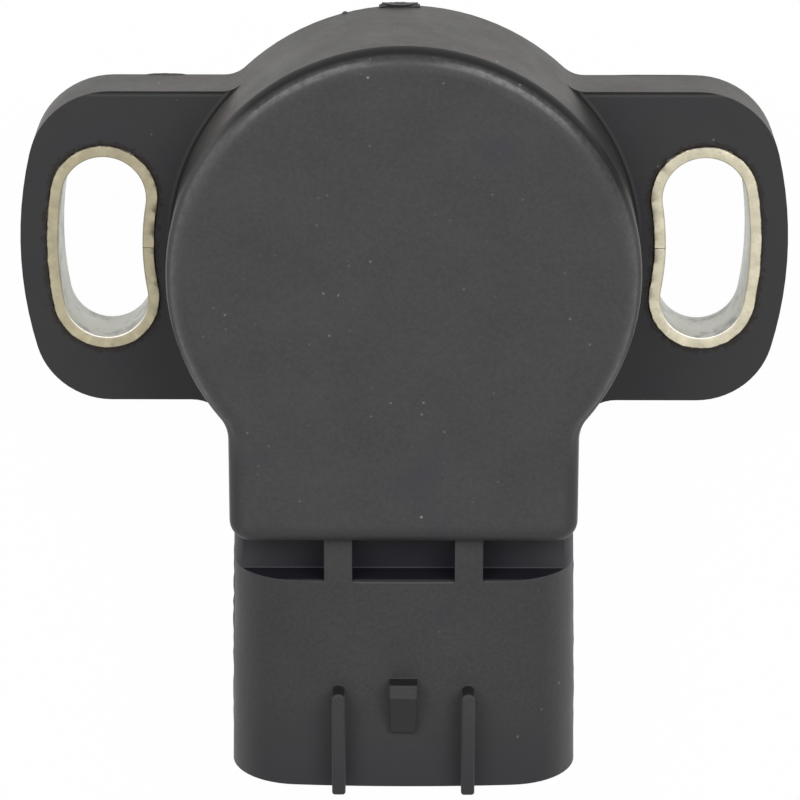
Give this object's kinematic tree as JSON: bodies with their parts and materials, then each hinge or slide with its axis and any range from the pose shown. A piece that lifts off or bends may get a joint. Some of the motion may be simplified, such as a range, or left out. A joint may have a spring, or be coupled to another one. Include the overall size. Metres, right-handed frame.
{
  "type": "throttle position sensor",
  "caption": "Flat round sensor body with slotted mounting ears on both sides, a sprung rotor with a flat-sided drive socket at the back, and an oval plug-in connector below.",
  "frame": {"origin": "on the rotor's axis, at the mounting face", "axes": "+Z along the rotor's axis out of the front face, +Y away from the connector, +X to the right seen from the front"},
  "size_m": [0.0502, 0.0512, 0.015],
  "materials": {
    "housing_plastic": "black moulded glass-filled plastic, satin",
    "cover_plastic": "black moulded plastic, satin",
    "rotor_plastic": "black moulded bearing plastic, smooth",
    "plated_steel": "rolled steel strip, dull yellowish zinc plating",
    "tinned_brass": "stamped brass, tin plated",
    "brass": "plain brass, machined",
    "spring_bronze": "thin sprung bronze strip",
    "spring_steel": "drawn spring wire",
    "seal_rubber": "moulded rubber",
    "sealant": "cured sealant, slightly glossy",
    "board_ceramic": "fired alumina, unglazed",
    "resistor_ink": "printed carbon film",
    "conductor_ink": "printed silver film",
    "solder": "tin solder",
    "washer_plastic": "plain bearing plastic, natural"
  },
  "bodies": {
    "body": {"housing": "housing_plastic", "left_bushing": "plated_steel", "right_bushing": "plated_steel", "rear_cover": "cover_plastic", "cover_sealant": "sealant", "mount_seal": "seal_rubber", "shaft_seal": "seal_rubber", "supply_terminal": "tinned_brass", "signal_terminal": "tinned_brass", "ground_terminal": "tinned_brass", "sensor_board": "board_ceramic", "resistor_track": "resistor_ink", "collector_track": "conductor_ink", "supply_lead": "conductor_ink", "ground_lead": "conductor_ink", "supply_solder": "solder", "signal_solder": "solder", "ground_solder": "solder", "thrust_washer": "washer_plastic", "return_spring": "spring_steel"},
    "turning": {"rotor": "rotor_plastic", "drive_insert": "brass", "wiper": "spring_bronze"}
  },
  "joints": [
    {"name": "rotor_turn", "type": "hinge", "parent": "body", "child": "turning", "pos_m": [0, 0, 0], "axis": [0, 0, 1], "range_deg": [0, 100], "stiffness_Nm_per_rad": 0.002, "springref_deg": -11.46, "deforming": ["return_spring"]}
  ]
}
